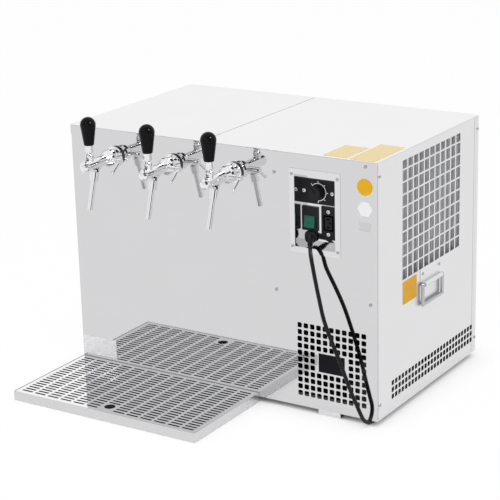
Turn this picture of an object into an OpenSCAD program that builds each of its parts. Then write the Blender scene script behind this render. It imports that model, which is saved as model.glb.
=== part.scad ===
// Counter-top beer cooler: a water-bath cabinet with three lever taps on its
// front, a control recess, a refrigeration set and a lift-out drip grid in a tray.
// Millimetres, +Z up, floor at Z = 0, taps towards -Y.

/* [Cabinet] */
// Width over the side panels
cab_w = 635; // [620:1:700]
// Depth from the front face to the back face
cab_d = 395; // [385:1:440]
// Height of the covers above the floor
cab_h = 470; // [466:1:520]
// Thickness of the cabinet's sheet
sheet = 1.2; // [0.8:0.1:1.6]
// Height of the feet
foot_h = 10; // [10:1:20]
// Width of a foot
foot_w = 44; // [30:1:60]
// Depth of a foot
foot_d = 26; // [18:1:40]
// Distance of the feet from the sides of the cabinet
foot_inset = 74; // [30:1:76]
// Height of the base pan's upstand
pan_flange = 24; // [16:1:28]
// Depth of the front panel's side returns
front_return = 20; // [14:1:26]
// Width of the rear panel's corner flanges
rear_flange = 10; // [8:1:14]

/* [Covers] */
// Distance of the seam between lid and cover from the left side
seam_x = 290; // [285:1:310]
// Gap at the seam
seam_gap = 1.2; // [0.8:0.1:2]
// Depth of the lid's left skirt
lid_skirt = 17; // [10:1:22]
// Depth of the tongues under the covers
tongue_h = 12; // [8:1:14]

/* [Vents] */
// Side of a punched vent hole
vent_hole = 9.3; // [7:0.1:10]
// Distance between vent holes
vent_pitch = 12.7; // [12:0.1:13]
// Front vent columns and rows
front_vents = 11; // [7:2:11]
// Columns left blank behind the badge
badge_cols = 5; // [3:2:5]
// Rows left blank behind the badge
badge_rows = 3; // [3:2:5]
// Side vent columns
side_vent_cols = 26; // [16:1:26]
// Side vent rows
side_vent_rows = 3; // [1:1:3]
// Width of the badge plate
badge_w = 51; // [36:1:54]
// Height of the badge plate
badge_h = 34; // [20:1:36]

/* [Side grille] */
// Width of a grille window
window_w = 16.5; // [12:0.5:18]
// Height of a grille window
window_h = 19; // [14:0.5:20]
// Height of the windows in the top row
window_top_h = 14.5; // [10:0.5:18]
// Distance between window columns
window_pitch_y = 20.9; // [20:0.1:21.5]
// Distance between window rows
window_pitch_z = 22; // [21:0.1:22.5]
// Window columns
window_cols = 11; // [7:1:11]
// Window rows
window_rows = 10; // [6:1:10]
// Distance of the grille below the top
grille_drop = 17.5; // [16:0.5:22]

/* [Drip tray] */
// Width of the tray
tray_w = 396; // [360:1:420]
// Depth of the tray
tray_d = 208; // [190:1:230]
// Height of the tray
tray_h = 18; // [15:1:24]
// Sheet of the tray and grid
tray_t = 1; // [0.8:0.1:1.5]
// Length of a drain slot
slot_l = 23.5; // [18:0.5:25]
// Width of a drain slot
slot_w = 4.5; // [3:0.1:5.5]
// Slot columns
slot_cols = 13; // [9:2:13]
// Slot rows
slot_rows = 20; // [12:1:20]
// Radius of the finger hole
finger_r = 10; // [8:0.5:12]

/* [Taps] */
// Distance of the first tap from the left side
tap_x = 99.5; // [90:0.5:120]
// Distance between taps
tap_pitch = 127.5; // [110:0.5:132]
// Distance of the tap axis below the top
tap_drop = 48.5; // [44:0.5:51]
// Radius of the shank through the panel
shank_r = 10.5; // [9:0.25:11]
// Radius of the black gasket
gasket_r = 18; // [16:0.5:19]
// Thickness of the black gasket
gasket_t = 4; // [2:0.5:5]
// Radius of the flow housing
housing_r = 16; // [14.5:0.5:17]
// Radius of the valve barrel
barrel_r = 10; // [9.5:0.25:11.5]
// Distance of the lever from the panel
lever_reach = 76; // [70:1:84]
// Radius of the ball that carries the lever
ball_r = 7.5; // [7:0.25:8]
// Height of the lever's pivot above the tap axis
pivot_h = 16; // [15:0.5:18]
// Radius of the lever's pin
pin_r = 2; // [1.5:0.25:2.5]
// Height of the knob
knob_h = 51; // [42:1:60]
// Largest radius of the knob
knob_r = 14; // [12:0.5:16]
// Radius of the knob's foot
knob_foot_r = 9; // [8:0.5:11]
// Outer radius of the spout tube
spout_r = 4.8; // [4:0.1:5.2]
// Wall of the spout tube
spout_wall = 1.5; // [0.8:0.1:1.8]
// Length of the spout tube below its nut
spout_l = 52; // [40:1:65]
// Forward tilt of the spout
spout_tilt = 17; // [0:1:20]
// Length of the flow lever
flow_l = 28; // [20:1:32]
// Distance of the flow lever from the flow housing
flow_out = 10.5; // [6:0.5:14]

/* [Controls] */
// Width of the recess
recess_w = 79; // [78:1:86]
// Height of the recess
recess_h = 128; // [126:1:140]
// Depth of the recess
recess_d = 21; // [19:1:26]
// Width of the flange round the recess
recess_flange = 10; // [8:0.5:12]
// Distance of the recess's middle from the right side
recess_x = 119; // [115:1:126]
// Distance of the recess's middle below the top
recess_drop = 101; // [92:1:106]
// Radius of the thermostat knob
dial_r = 12; // [9:0.5:13]
// Height of the thermostat knob
dial_h = 13; // [9:0.5:16]
// Width of the rocker
rocker_w = 20.4; // [16:0.2:22]
// Half height of the rocker
rocker_r = 12.2; // [10:0.2:12.6]
// Distance between the outlet's screws
outlet_screws = 40; // [36:1:42]

/* [Handles] */
// Width of a handle plate
handle_w = 82; // [70:1:90]
// Height of a handle plate
handle_h = 30; // [24:1:34]
// Radius of the bail's wire
bail_r = 3.2; // [2.5:0.1:3.5]
// Width over the legs of the bail
bail_w = 84; // [74:1:96]
// Drop of the bail
bail_drop = 40; // [30:1:50]
// Distance of the handles behind the front
handle_y = 200; // [190:1:215]
// Height of the bail's pivot above the floor
handle_z = 211; // [180:1:214]

/* [Water bath] */
// Thickness of the insulation
foam_t = 28; // [20:1:32]
// Distance of the bath's rim below the top
bath_drop = 65; // [62:1:75]
// Sheet of the bath
bath_t = 1; // [0.8:0.1:1.5]
// Radius of the beer tube
beer_r = 4; // [3:0.25:4.5]
// Radius of a beer coil
beer_coil_r = 42; // [36:0.5:43]
// Turns of a beer coil
beer_turns = 6; // [4:1:7]
// Radius of the evaporator tube
evap_r = 5; // [4:0.25:5.5]
// Turns of the evaporator
evap_turns = 6; // [4:1:7]
// Radius of the agitator's motor
stir_motor_r = 28; // [22:0.5:30]
// Radius of the impeller
impeller_r = 24; // [16:0.5:26]

/* [Refrigeration] */
// Radius of the compressor
comp_r = 72; // [60:1:75]
// Height of the compressor's shell
comp_h = 165; // [140:1:175]
// Thickness of the condenser
cond_t = 38; // [30:1:42]
// Width of the condenser
cond_w = 236; // [220:2:240]
// Height of the condenser
cond_h = 222; // [212:2:224]
// Fins of the condenser
cond_fins = 24; // [12:1:30]
// Distance of the fan from the condenser's edges
fan_edge = 19; // [16:1:26]
// Radius of the beer inlet stubs
inlet_r = 4.75; // [4:0.25:6]
// Reach of the stubs behind the back
inlet_reach = 21.5; // [15:0.5:30]
// Radius of the drain stub
drain_r = 7; // [5:0.5:8]

/* [Hidden] */
$fn = 48;

// Clearance between pieces that are screwed together
fit = 0.3;
// Radial clearance of a pin or shaft that turns
run = 0.05;
// Overlap that joins two shapes of one piece
weld = 0.5;
// Gap between the tray and the front panel
tray_gap = 0.5;
// The front face, placed so that the whole part is centred on the origin
front_y = (tray_d + tray_gap - cab_d - inlet_reach) / 2;
// Height of the panels' lower edge and upper edge
low_z = foot_h;
high_z = cab_h - sheet - fit;
// Inner faces that the base pan and the insulation stand clear of
pan_in = 2 * sheet + 2 * fit;
foam_in = pan_in + sheet + fit;
// The tap axis
tap_z = cab_h - tap_drop;
// Middle of the recess
rec_cx = cab_w - recess_x;
rec_cz = cab_h - recess_drop;
// Parts on the recess floor, from the middle of the recess
dial_dx = -4;
dial_dz = 31.5;
dial_plate = [71, 43, 2.5];
switch_dx = -21;
switch_dz = -17.5;
switch_plate = [31, 43, 3];
outlet_dx = 15.5;
outlet_dz = -21.5;
outlet_plate = [28, 58, 2.5];
gland_dx = -21.5;
gland_dz = -49.5;
gland_r = 10.3;
// Middle of the front vents, from the right side and the base
vent_cx = cab_w - 89.7;
vent_cz = low_z + 88.4;
// Middle of the side vents
side_vent_y = 215.5;
side_vent_z = low_z + 40.5;
// Middle of the side grille
grille_y = 204.5;
// Feet of the bath
foam_x1 = seam_x - 5;
foam_y1 = cab_d - foam_in;
rim_z = cab_h - bath_drop;
bath_lo = [foam_in + foam_t + fit, foam_in + foam_t + fit, low_z + sheet + foam_t + fit];
bath_hi = [foam_x1 - foam_t - fit, foam_y1 - foam_t - fit, rim_z];
bath_cx = (bath_lo.x + bath_hi.x) / 2;
bath_cy = (bath_lo.y + bath_hi.y) / 2;
// Height of the tubes over the rim
line_z = rim_z + 22;
// Beer inlets at the back
inlet_xs = [bath_cx - 85, bath_cx - 13, bath_cx + 59];
inlet_in = 14;
// End of the shanks behind the panel
shank_in = 30;
// Drain
drain_x = bath_cx;
drain_z = bath_lo.z + bath_t + drain_r + 6;
drain_pipe_r = drain_r - 1;
// Agitator
stir_plate_t = 2;
stir_plate_w = 26;
stir_motor_h = 44;
shaft_r = 4;
// Condenser and fan
cond_y = grille_y;
cond_z = cab_h - grille_drop - 4 - cond_h / 2;
cond_x1 = cab_w - 8;
cond_x0 = cond_x1 - cond_t;
shroud_x = cond_x0 - 9;
fan_r = cond_h / 2 - fan_edge;
fan_ring_r = fan_r + 6;
fan_motor_r = 30;
fan_x0 = shroud_x - 27;
fan_motor_x1 = fan_x0 - 8;
// Compressor
comp_x = seam_x + 105;
comp_y = 230;
comp_z = low_z + sheet + 10;
suction_at = [comp_x - 25, comp_y - 30];
discharge_at = [comp_x + 35, comp_y + 20];
stub_r = 6;
stub_top = comp_z + comp_h + 12;
// Pipes
pipe_r = 4;
capillary_r = 1.6;
drier_r = 11;
drier_l = 105;
drier_at = [comp_x + 165, cab_d - 27, low_z + 75];
evap_out_x = foam_x1 + 15;

// Mains lead, from the cabinet's front right floor corner. It hangs from the
// gland, at heights that are shares of the gland's height, and turns under the
// cabinet. There it lies in a flat hank and comes out behind, at the plug
lead_r = 3.5;
lead_top = rec_cz + gland_dz - 8;
lead_floor = lead_r + 0.3;
plug_size = [38, 17, 25];
lead_hang = [[-127, -4.5, 1], [-122.8, -11.3, 0.982], [-119, -16.2, 0.958], [-116, -18.8, 0.931],
    [-113.5, -19.5, 0.897], [-109, -21.5, 0.844], [-94.5, -30.5, 0.718], [-80.5, -36, 0.596],
    [-54.5, -32.5, 0.385], [-38, -27.5, 0.23], [-27.5, -23.3, 0.14]];
lead_turn = [[-22, -21, 28.6], [-19.3, -14.7, 15.7], [-17.8, -3.3, 6.8], [-17, 10.2, lead_floor]];
lead_front = [[-18, 35], [-20, 100], [-20, 200]];
lead_runs = [[-20, -130], [-20, -85], [-30.3, -60.3], [-55, -50], [-79.7, -60.3], [-90, -85], [-90, -125]];
lead_fold = [[-90, 190], [-90, 125], [-90, 90], [-100.3, 65.3], [-125, 55], [-149.7, 65.3], [-160, 90],
    [-160, 135], [-160, 230]];
lead_back = inlet_reach - plug_size.y / 2;
lead_out = [[-160, -75], [-160, -27], [-171.7, 1.3], [-200, lead_back]];
lead_rise = [[-226, 7], [-252, plug_size.z / 2]];
lead_route = concat([for (p = lead_hang) [p.x, p.y, p.z * lead_top]], lead_turn,
    [for (p = lead_front) [p.x, p.y, lead_floor]], [for (p = lead_runs) [p.x, cab_d + p.y, lead_floor]],
    [for (p = lead_fold) [p.x, p.y, lead_floor]], [for (p = lead_out) [p.x, cab_d + p.y, lead_floor]],
    [for (p = lead_rise) [p.x, cab_d + lead_back, p.y]]);
lead_steps = 2;

// Everything below is drawn from the cabinet's front left floor corner
module cab() {
    translate([-cab_w / 2, front_y, 0]) children();
}

module box(lo, hi) {
    translate(lo) cube(hi - lo);
}

module rod_x(r, x0, x1) {
    translate([x0, 0, 0]) rotate([0, 90, 0]) cylinder(r = r, h = x1 - x0);
}

module rod_y(r, y0, y1) {
    translate([0, y0, 0]) rotate([-90, 0, 0]) cylinder(r = r, h = y1 - y0);
}

module rod_z(r, z0, z1) {
    translate([0, 0, z0]) cylinder(r = r, h = z1 - z0);
}

// Tube along a line of points
function unit(v) = v / norm(v);
function heading(p, i) = unit(p[min(i + 1, len(p) - 1)] - p[max(i - 1, 0)]);
function square_to(t) = unit(cross(t, abs(t.z) < 0.9 ? [0, 0, 1] : [1, 0, 0]));
function carried(p) = [for (i = 0, u = square_to(heading(p, 0)); i < len(p);
    i = i + 1, t = heading(p, min(i, len(p) - 1)), u = unit(u - (u * t) * t)) u];
function ring(c, t, u, r, n) = let (v = cross(t, u))
    [for (k = [0:n - 1]) c + r * (cos(360 * k / n) * u + sin(360 * k / n) * v)];
function between(a, b, c, d, s) = 0.5 * (2 * b + (c - a) * s + (2 * a - 5 * b + 4 * c - d) * s * s
    + (3 * b - a - 3 * c + d) * s * s * s);
function smooth(p, n) = let (m = len(p) - 1, e = concat([2 * p[0] - p[1]], p, [2 * p[m] - p[m - 1]]))
    concat([for (i = [0:m - 1], k = [0:n - 1]) between(e[i], e[i + 1], e[i + 2], e[i + 3], k / n)], [p[m]]);
// Line of points with its corners eased
function eased(p, r) = concat([p[0]], [for (i = [1:len(p) - 2])
    let (a = p[i - 1] - p[i], b = p[i + 1] - p[i],
        u = min(r, 0.45 * norm(a)) * unit(a), v = min(r, 0.45 * norm(b)) * unit(b))
    each [p[i] + u, p[i] + (u + v) / 4, p[i] + v]], [p[len(p) - 1]]);

module tube(p, r, n) {
    us = carried(p);
    m = len(p);
    points = [for (i = [0:m - 1]) each ring(p[i], heading(p, i), us[i], r, n)];
    walls = [for (i = [0:m - 2], k = [0:n - 1])
        let (a = i * n + k, b = i * n + (k + 1) % n) each [[a, a + n, b + n], [a, b + n, b]]];
    first = [for (k = [1:n - 2]) [0, k, k + 1]];
    last = [for (k = [1:n - 2]) [(m - 1) * n, (m - 1) * n + k + 1, (m - 1) * n + k]];
    polyhedron(points, concat(walls, first, last));
}

// Cone from one point to another
module cone(a, b, r0, r1) {
    d = b - a;
    translate(a)
        rotate([0, acos(d.z / norm(d)), atan2(d.y, d.x)])
            cylinder(r1 = r0, r2 = r1, h = norm(d));
}

// One punched hole with rounded corners, cut along +Z
module vent(depth) {
    linear_extrude(depth)
        intersection() {
            square(vent_hole, center = true);
            circle(r = vent_hole * 0.6);
        }
}

// Vent field on a wall that faces -Y, drawn about its middle
module vents_y(cols, rows, skip_cols, skip_rows) {
    for (c = [0:cols - 1], r = [0:rows - 1])
        if (abs(c - (cols - 1) / 2) * 2 >= skip_cols || abs(r - (rows - 1) / 2) * 2 >= skip_rows)
            translate([(c - (cols - 1) / 2) * vent_pitch, -1, (r - (rows - 1) / 2) * vent_pitch])
                rotate([-90, 0, 0]) vent(sheet + 2);
}

module base_pan() {
    lo = [pan_in, sheet + fit, low_z];
    hi = [cab_w - pan_in, cab_d - sheet - fit, low_z + pan_flange];
    color("lightgray") cab() difference() {
        box(lo, hi);
        box(lo + [sheet, sheet, sheet], hi + [-sheet, -sheet, 1]);
    }
}

module feet() {
    xs = [foot_inset, cab_w - foot_inset - foot_w];
    ys = [sheet + fit, cab_d - sheet - fit - foot_d];
    color("gainsboro") cab()
        for (x = xs, y = ys)
            translate([x, y, 0]) difference() {
                cube([foot_w, foot_d, foot_h]);
                translate([-1, sheet, sheet]) cube([foot_w + 2, foot_d - 2 * sheet, foot_h]);
            }
}

module front_panel() {
    color("silver") cab() difference() {
        union() {
            box([0, 0, low_z], [cab_w, sheet, high_z]);
            for (x = [sheet + fit, cab_w - 2 * sheet - fit])
                box([x, 0, low_z], [x + sheet, front_return, high_z]);
        }
        for (i = [0:2])
            translate([tap_x + i * tap_pitch, 0, tap_z]) rod_y(shank_r + fit, -1, sheet + 1);
        translate([rec_cx, 0, rec_cz])
            box([-recess_w / 2 - sheet - fit, -1, -recess_h / 2 - sheet - fit],
                [recess_w / 2 + sheet + fit, sheet + 1, recess_h / 2 + sheet + fit]);
        translate([vent_cx, 0, vent_cz]) vents_y(front_vents, front_vents, badge_cols, badge_rows);
    }
}

module side_sheet() {
    box([0, sheet + fit, low_z], [sheet, cab_d - rear_flange - fit, high_z]);
}

module right_side_panel() {
    color("gainsboro") cab() difference() {
        translate([cab_w - sheet, 0, 0]) side_sheet();
        for (c = [0:window_cols - 1], r = [0:window_rows - 1]) {
            y = grille_y + (c - (window_cols - 1) / 2) * window_pitch_y;
            top = cab_h - grille_drop - r * window_pitch_z + (r > 0 ? window_h - window_top_h : 0);
            h = r > 0 ? window_h : window_top_h;
            box([cab_w - sheet - 1, y - window_w / 2, top - h], [cab_w + 1, y + window_w / 2, top]);
        }
        translate([cab_w, side_vent_y, side_vent_z])
            rotate([0, 0, 90]) vents_y(side_vent_cols, side_vent_rows, 0, 0);
    }
}

module left_side_panel() {
    color("gainsboro") cab() side_sheet();
}

module rear_panel() {
    color("gainsboro") cab() difference() {
        union() {
            box([0, cab_d - sheet, low_z], [cab_w, cab_d, high_z]);
            for (x = [0, cab_w - sheet])
                box([x, cab_d - rear_flange, low_z], [x + sheet, cab_d, high_z]);
        }
        for (x = inlet_xs)
            translate([x, cab_d, line_z]) rod_y(inlet_r + 1 + fit, -sheet - 1, 1);
        translate([drain_x, cab_d, drain_z]) rod_y(drain_pipe_r + fit, -sheet - 1, 1);
        translate([comp_x + 60, cab_d - sheet, vent_cz + 40]) vents_y(front_vents + 4, front_vents - 4, 0, 0);
    }
}

module bath_lid() {
    x0 = -sheet - fit;
    x1 = seam_x - seam_gap / 2;
    inner = pan_in + fit;
    color("whitesmoke") cab() {
        box([x0, 0, cab_h - sheet], [x1, cab_d, cab_h]);
        box([x0, 0, cab_h - lid_skirt], [-fit, cab_d, cab_h - sheet + weld]);
        difference() {
            box([inner, inner, cab_h - sheet - tongue_h], [x1 - inner, cab_d - inner, cab_h - sheet + weld]);
            box([inner + sheet, inner + sheet, 0], [x1 - inner - sheet, cab_d - inner - sheet, cab_h - sheet]);
        }
    }
}

module top_cover() {
    x0 = seam_x + seam_gap / 2;
    inner = pan_in + fit;
    color("whitesmoke") cab() {
        box([x0, 0, cab_h - sheet], [cab_w, cab_d, cab_h]);
        difference() {
            box([x0, inner, cab_h - sheet - tongue_h], [cab_w - inner, cab_d - inner, cab_h - sheet + weld]);
            box([x0 + sheet, inner + sheet, 0], [cab_w - inner - sheet, cab_d - inner - sheet, cab_h - sheet]);
        }
    }
}

// Controls, drawn about the middle of the recess
module at_recess() {
    cab() translate([rec_cx, 0, rec_cz]) children();
}

// A flat plate on the recess floor, facing -Y
module floor_plate(dx, dz, size) {
    box([dx - size.x / 2, recess_d - size.z, dz - size.y / 2], [dx + size.x / 2, recess_d, dz + size.y / 2]);
}

module control_recess() {
    w = recess_w / 2;
    h = recess_h / 2;
    f = recess_flange;
    color("silver") at_recess() difference() {
        union() {
            box([-w - f, -sheet, -h - f], [w + f, 0, h + f]);
            box([-w - sheet, -sheet, -h - sheet], [w + sheet, recess_d + sheet, h + sheet]);
        }
        box([-w, -sheet - 1, -h], [w, recess_d, h]);
        translate([dial_dx, 0, dial_dz]) rod_y(5 + fit, recess_d - 1, recess_d + sheet + 1);
        box([switch_dx - 13 - fit, recess_d - 1, switch_dz - 18 - fit],
            [switch_dx + 13 + fit, recess_d + sheet + 1, switch_dz + 18 + fit]);
        box([outlet_dx - 11 - fit, recess_d - 1, outlet_dz - 15 - fit],
            [outlet_dx + 11 + fit, recess_d + sheet + 1, outlet_dz + 15 + fit]);
        translate([gland_dx, 0, gland_dz]) rod_y(8 + fit, recess_d - 1, recess_d + sheet + 1);
    }
}

module thermostat() {
    color("#1c1c1e") at_recess() difference() {
        union() {
            floor_plate(dial_dx, dial_dz, dial_plate);
            translate([dial_dx, 0, dial_dz]) {
                rod_y(5, recess_d - weld, recess_d + sheet + weld);
                box([-22, recess_d + sheet, -18], [22, recess_d + sheet + 26, 18]);
            }
        }
        translate([dial_dx, 0, dial_dz]) rod_y(3 + run, recess_d - dial_plate.z - 1, recess_d + 8);
    }
}

module thermostat_knob() {
    face = recess_d - dial_plate.z - fit;
    color("#141416") at_recess() translate([dial_dx, 0, dial_dz]) {
        rod_y(3, face - weld, recess_d + 7);
        rod_y(dial_r, face - 3, face);
        rod_y(dial_r - 1.5, face - dial_h, face - 3 + weld);
        rotate([0, -40, 0]) box([-1.5, face - dial_h - 1.5, 0], [1.5, face - dial_h + weld, dial_r - 2]);
    }
}

// The rocker's window is the lower part of the switch
rocker_drop = -6;
rocker_gap = 0.4;
module switch_housing() {
    plate_y = recess_d - switch_plate.z;
    color("#18181a") at_recess() difference() {
        union() {
            floor_plate(switch_dx, switch_dz, switch_plate);
            box([switch_dx - 13, recess_d - weld, switch_dz - 18], [switch_dx + 13, recess_d + 24, switch_dz + 18]);
        }
        translate([switch_dx, plate_y, switch_dz + rocker_drop]) difference() {
            box([-rocker_w / 2 - rocker_gap, -1, -rocker_r - rocker_gap],
                [rocker_w / 2 + rocker_gap, 17, rocker_r + rocker_gap]);
            translate([0, 4, 0]) rod_x(pin_r, -15, 15);
        }
    }
}

module rocker_switch() {
    plate_y = recess_d - switch_plate.z;
    color("#2f7d55") at_recess()
        translate([switch_dx, plate_y + 4, switch_dz + rocker_drop]) difference() {
            intersection() {
                rod_x(rocker_r, -rocker_w / 2, rocker_w / 2);
                rotate([-7, 0, 0]) translate([-rocker_w / 2, 0, 0]) rotate([90, 0, 90])
                    linear_extrude(rocker_w)
                        polygon([[-5.5, 14], [-7.5, 14], [-6, 0], [-7.5, -14], [4, -14], [9, 0], [4, 14]]);
            }
            rod_x(pin_r + run, -15, 15);
        }
}

module outlet_socket() {
    color("#1a1a1c") at_recess() difference() {
        union() {
            floor_plate(outlet_dx, outlet_dz, outlet_plate);
            box([outlet_dx - 11, recess_d - weld, outlet_dz - 15], [outlet_dx + 11, recess_d + 22, outlet_dz + 15]);
        }
        translate([outlet_dx, recess_d - outlet_plate.z, outlet_dz]) {
            difference() {
                box([-10, -1, -14], [10, 12, 14]);
                box([-7, -2, -11], [7, 13, 11]);
            }
            for (z = [-7, 0, 7])
                box([z == 0 ? 1 : -3, -1, z - 1.25], [z == 0 ? 5.5 : 2, 10, z + 1.25]);
        }
    }
}

// Round body that leans to the right, and a tapered sleeve for the lead
module cable_gland() {
    foot = [rec_cx + gland_dx, recess_d, rec_cz + gland_dz];
    face = foot + [5.8, -9.3, 0];
    tip = lead_route[0] + [cab_w, 0, 0];
    color("#161618") cab() {
        difference() {
            cone(2 * foot - face, face, gland_r, gland_r);
            translate(foot - [30, 0, 30]) cube(60);
        }
        translate([foot.x, 0, foot.z]) rod_y(8, recess_d - 1, recess_d + sheet + 8);
        cone(tip - 1.15 * (tip - face), tip, lead_r + 2.5, lead_r + 0.8);
    }
}

module mains_lead() {
    color("#1b1b1d") cab() translate([cab_w, 0, 0]) tube(smooth(lead_route, lead_steps), lead_r, 8);
}

// Plug with a tapered boot, standing on the floor behind the rear panel
module lead_plug() {
    boot_l = 22;
    pin_l = 12;
    half = plug_size / 2;
    color("#161618") cab() translate([cab_w, 0, 0] + lead_route[len(lead_route) - 1]) {
        cone([0, 0, 0], [-boot_l - weld, 0, 0], lead_r + 0.8, lead_r + 3);
        translate([-boot_l, 0, 0]) {
            box([-plug_size.x, -half.y, -half.z], [0, half.y, half.z]);
            for (z = [-7, 0, 7])
                box([-plug_size.x - pin_l, -2, z - 1], [-plug_size.x + weld, 2, z + 1]);
        }
    }
}

module drip_tray() {
    lo = [0, -tray_gap - tray_d, 0];
    hi = [tray_w, -tray_gap, tray_h];
    color("lightgray") cab() difference() {
        box(lo, hi);
        box(lo + [tray_t, tray_t, tray_t], hi + [-tray_t, -tray_t, 1]);
    }
}

module drip_grid() {
    gap = tray_t + 0.6;
    top = tray_h - 0.5;
    lo = [gap, -tray_gap - tray_d + gap, tray_t];
    hi = [tray_w - gap, -tray_gap - gap, top];
    pitch_x = (hi.x - lo.x - 12) / slot_cols;
    pitch_y = (hi.y - lo.y - 12) / slot_rows;
    hole = [tray_w / 2, lo.y + 24];
    color("lightgray") cab() difference() {
        box(lo, hi);
        box(lo + [tray_t, tray_t, -1], hi - [tray_t, tray_t, tray_t]);
        for (c = [0:slot_cols - 1], r = [0:slot_rows - 1]) {
            x = tray_w / 2 + (c - (slot_cols - 1) / 2) * pitch_x;
            y = (lo.y + hi.y) / 2 + (r - (slot_rows - 1) / 2) * pitch_y;
            if (abs(x - hole.x) > pitch_x / 2 || abs(y - hole.y) > finger_r + slot_w / 2 + 2)
                box([x - slot_l / 2, y - slot_w / 2, top - tray_t - 1], [x + slot_l / 2, y + slot_w / 2, top + 1]);
        }
        translate([hole.x, hole.y, top - tray_t - 1]) cylinder(r = finger_r, h = tray_t + 2);
    }
}

// Handles, drawn for the right side about the bail's pivot
bail_out = bail_r + sheet + fit;
bail_leg = bail_w / 2 - bail_r;
module each_side() {
    cab() {
        translate([cab_w, handle_y, handle_z]) children();
        translate([0, handle_y, handle_z]) mirror([1, 0, 0]) children();
    }
}

// The plate's lower edge is rolled round the bail
module handle_plates() {
    roll = bail_leg - bail_r - 2;
    color("gainsboro") each_side() difference() {
        union() {
            box([0, -handle_w / 2, bail_r + 3], [sheet, handle_w / 2, handle_h]);
            box([0, -roll, -bail_r / 2], [sheet, roll, bail_r + 3 + weld]);
            translate([bail_out, 0, 0]) rod_y(bail_r + sheet, -roll, roll);
        }
        translate([bail_out, 0, 0]) rod_y(bail_r + run, -handle_w, handle_w);
    }
}

module bail() {
    low = bail_r - bail_drop;
    translate([bail_out, 0, 0]) {
        for (z = [0, low])
            translate([0, 0, z]) rod_y(bail_r, -bail_leg, bail_leg);
        for (s = [-1, 1])
            translate([0, s * bail_leg, 0]) {
                rod_z(bail_r, low, 0);
                sphere(r = bail_r);
                translate([0, 0, low]) sphere(r = bail_r);
            }
    }
}

module right_handle_bail() {
    color("silver") cab() translate([cab_w, handle_y, handle_z]) bail();
}

module left_handle_bail() {
    color("silver") cab() translate([0, handle_y, handle_z]) mirror([1, 0, 0]) bail();
}

module badge_plate() {
    color("#17171a") cab() translate([vent_cx, 0, vent_cz])
        box([-badge_w / 2, -1, -badge_h / 2], [badge_w / 2, 0, badge_h / 2]);
}

// Pan-head screw on a face, head along +Z
module screw(r) {
    cylinder(r = r, h = 0.8);
    translate([0, 0, 0.8]) cylinder(r1 = r, r2 = r * 0.6, h = 1);
}

module steel_screws() {
    w = recess_w / 2 + recess_flange / 2;
    h = recess_h / 2;
    last_tap = tap_x + 2 * tap_pitch + gasket_r;
    recess_left = rec_cx - recess_w / 2 - recess_flange;
    screw_x = recess_left - 0.32 * (recess_left - last_tap);
    color("silver") {
        cab() {
            for (p = [[cab_w - 21.5, cab_h - 9], [cab_w - 13, low_z + 211], [screw_x, cab_h - 38.5],
                [screw_x, low_z + 210]])
                translate([p.x, 0, p.y]) rotate([90, 0, 0]) screw(3);
            for (y = [9, cab_d - 4.5], z = [cab_h - 25, low_z + 28])
                translate([cab_w, y, z]) rotate([0, 90, 0]) screw(3);
        }
        at_recess()
            for (x = [-w, w], z = [-h, h])
                translate([x, -sheet, z]) rotate([90, 0, 0]) screw(2.6);
        each_side()
            for (s = [-1, 1])
                translate([sheet, s * (handle_w / 2 - 8.5), handle_h * 0.65]) rotate([0, 90, 0]) screw(3.2);
    }
}

module white_screws() {
    color("white") at_recess() {
        for (x = [-27.5, 27.5])
            translate([dial_dx + x, recess_d - dial_plate.z, dial_dz]) rotate([90, 0, 0]) screw(3.2);
        for (z = [-outlet_screws / 2, outlet_screws / 2])
            translate([outlet_dx, recess_d - outlet_plate.z, outlet_dz + z]) rotate([90, 0, 0]) screw(3.2);
    }
}

label_t = 0.3;
label_x = cab_w - 23;
module yellow_labels() {
    color("#e8b84a") cab() {
        translate([label_x, 0, cab_h - 44]) rod_y(14.5, -label_t, 0);
        box([cab_w - 106, 6, cab_h], [cab_w - 60, 84, cab_h + label_t]);
        box([cab_w - 54, 3, cab_h], [cab_w - 6, 114, cab_h + label_t]);
        box([cab_w, 93, handle_z - 17], [cab_w + label_t, 146, handle_z + 25]);
    }
}

module white_labels() {
    color("white") cab() {
        translate([label_x, 0, cab_h - 82]) rotate([90, 0, 0]) cylinder(r = 14, h = label_t, $fn = 6);
        box([label_x - 11, -label_t, cab_h - 121], [label_x + 11, 0, cab_h - 105]);
        box([2, -label_t, low_z + 13], [78, 0, low_z + 49]);
    }
}

// Taps, drawn about the point where the tap axis meets the front face
module at_tap(i) {
    cab() translate([tap_x + (i - 1) * tap_pitch, 0, tap_z]) children();
}

module tap_gaskets() {
    color("#121214")
        for (i = [1:3])
            at_tap(i) difference() {
                rod_y(gasket_r, -gasket_t, 0);
                rod_y(shank_r + run, -gasket_t - 1, 1);
            }
}

module tap_nuts() {
    color("silver")
        for (i = [1:3])
            at_tap(i) difference() {
                translate([0, sheet, 0]) rotate([-90, 0, 0]) cylinder(r = shank_r + 5, h = 8, $fn = 6);
                rod_y(shank_r + run, 0, 20);
            }
}

// Places along the tap axis, measured out from the panel
housing_end = gasket_t + 28;
barrel_end = lever_reach + 15;
neck_root = lever_reach - 30;
neck_r = 7.2;
neck_seat = 4;
spout_reach = lever_reach - 14;
spout_drop = 12;
spout_nut = 16;
flow_reach = gasket_t + 26;
flow_x = housing_r + flow_out;
flow_stub_r = 5;

// The elbow under the barrel, where the spout's axis begins
module at_elbow() {
    translate([0, -spout_reach, -spout_drop]) rotate([-spout_tilt, 0, 0]) children();
}

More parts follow.
